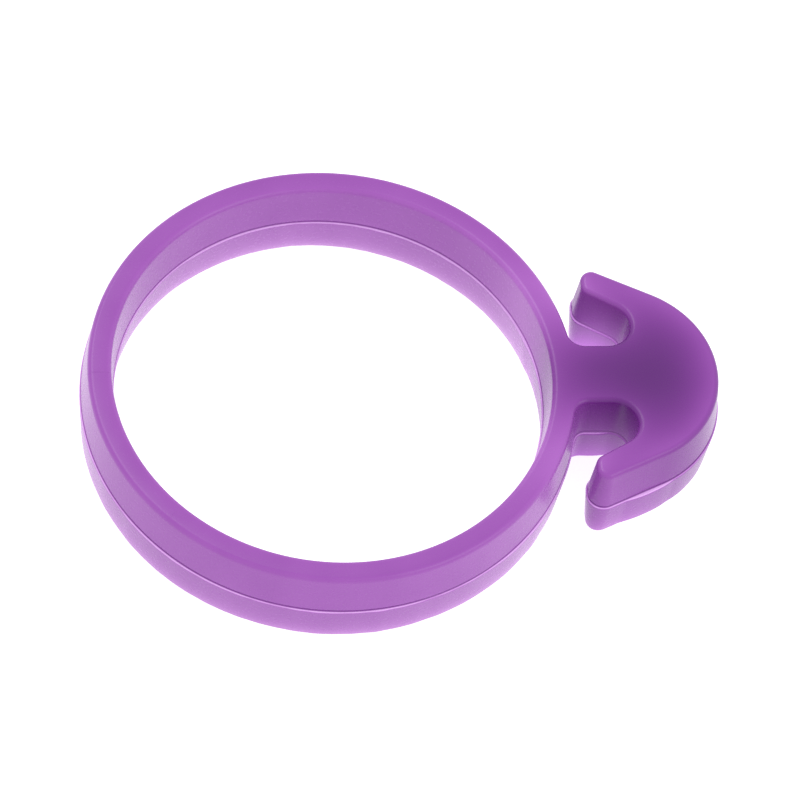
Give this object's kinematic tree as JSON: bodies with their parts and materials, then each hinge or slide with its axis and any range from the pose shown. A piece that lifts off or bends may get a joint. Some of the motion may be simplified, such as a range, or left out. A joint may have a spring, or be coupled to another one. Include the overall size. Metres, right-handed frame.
{
  "type": "leg band",
  "caption": "Moulded elastomer leg band: a round loop for the leg with a short neck and an anchor-shaped head whose two barbs point back to the loop.",
  "frame": {"origin": "middle of the outline's length and width, on the plane of the lower faces", "axes": "+X from the loop to the head along the band's length, +Z along the loop's axis, +Y to the left barb"},
  "size_m": [0.0336, 0.026, 0.0053],
  "materials": {
    "loop": "satin translucent purple elastomer, pale at its thin edges",
    "root": "satin translucent purple elastomer",
    "head": "satin purple elastomer, dark where it is thick",
    "barb": "satin translucent purple elastomer"
  },
  "bodies": {
    "neck_root": {"neck_root": "root"},
    "head": {"head_core": "head"},
    "barb_left": {"barb_left": "barb"},
    "barb_right": {"barb_right": "barb"},
    "loop_left_1": {"loop_left_1": "loop"},
    "loop_left_2": {"loop_left_2": "loop"},
    "loop_left_3": {"loop_left_3": "loop"},
    "loop_left_4": {"loop_left_4": "loop"},
    "loop_right_1": {"loop_right_1": "loop"},
    "loop_right_2": {"loop_right_2": "loop"},
    "loop_right_3": {"loop_right_3": "loop"},
    "loop_right_4": {"loop_right_4": "loop"}
  },
  "joints": [
    {"name": "head_tilt", "type": "hinge", "parent": "neck_root", "child": "head", "pos_m": [0.00997, 0, 0.00265], "axis": [0, -1, 0], "range_deg": [-22, 22], "stiffness_Nm_per_rad": 0.01},
    {"name": "barb_left_flex", "type": "hinge", "parent": "head", "child": "barb_left", "pos_m": [0.01185, 0.00488, 0.00265], "axis": [0, 0, 1], "range_deg": [-20, 25], "stiffness_Nm_per_rad": 0.002},
    {"name": "barb_right_flex", "type": "hinge", "parent": "head", "child": "barb_right", "pos_m": [0.01185, -0.00488, 0.00265], "axis": [0, 0, -1], "range_deg": [-20, 25], "stiffness_Nm_per_rad": 0.002},
    {"name": "loop_squeeze", "type": "hinge", "parent": "neck_root", "child": "loop_left_1", "pos_m": [0.00745, 0.00465, 0.00265], "axis": [0, 0, 1], "range_deg": [-20, 28], "stiffness_Nm_per_rad": 0.0003},
    {"name": "loop_left_bend_2", "type": "hinge", "parent": "loop_left_1", "child": "loop_left_2", "pos_m": [0.00088, 0.01123, 0.00265], "axis": [0, 0, 1], "range_deg": [-28, 20], "stiffness_Nm_per_rad": 0.0003},
    {"name": "loop_left_bend_3", "type": "hinge", "parent": "loop_left_2", "child": "loop_left_3", "pos_m": [-0.00843, 0.01123, 0.00265], "axis": [0, 0, 1], "range_deg": [-28, 20], "stiffness_Nm_per_rad": 0.0003},
    {"name": "loop_left_bend_4", "type": "hinge", "parent": "loop_left_3", "child": "loop_left_4", "pos_m": [-0.015, 0.00465, 0.00265], "axis": [0, 0, 1], "range_deg": [-20, 28], "stiffness_Nm_per_rad": 0.0003},
    {"name": "loop_right_bend_1", "type": "hinge", "parent": "neck_root", "child": "loop_right_1", "pos_m": [0.00745, -0.00465, 0.00265], "axis": [0, 0, -1], "range_deg": [-20, 28], "stiffness_Nm_per_rad": 0.0003},
    {"name": "loop_right_bend_2", "type": "hinge", "parent": "loop_right_1", "child": "loop_right_2", "pos_m": [0.00088, -0.01123, 0.00265], "axis": [0, 0, -1], "range_deg": [-28, 20], "stiffness_Nm_per_rad": 0.0003},
    {"name": "loop_right_bend_3", "type": "hinge", "parent": "loop_right_2", "child": "loop_right_3", "pos_m": [-0.00843, -0.01123, 0.00265], "axis": [0, 0, -1], "range_deg": [-28, 20], "stiffness_Nm_per_rad": 0.0003},
    {"name": "loop_right_bend_4", "type": "hinge", "parent": "loop_right_3", "child": "loop_right_4", "pos_m": [-0.015, -0.00465, 0.00265], "axis": [0, 0, -1], "range_deg": [-20, 28], "stiffness_Nm_per_rad": 0.0003}
  ],
  "couplings": [
    {"joint": "loop_left_bend_2", "follows": "loop_squeeze", "ratio": -1},
    {"joint": "loop_left_bend_3", "follows": "loop_squeeze", "ratio": -1},
    {"joint": "loop_left_bend_4", "follows": "loop_squeeze", "ratio": 1},
    {"joint": "loop_right_bend_1", "follows": "loop_squeeze", "ratio": 1},
    {"joint": "loop_right_bend_2", "follows": "loop_squeeze", "ratio": -1},
    {"joint": "loop_right_bend_3", "follows": "loop_squeeze", "ratio": -1},
    {"joint": "loop_right_bend_4", "follows": "loop_squeeze", "ratio": 1}
  ]
}
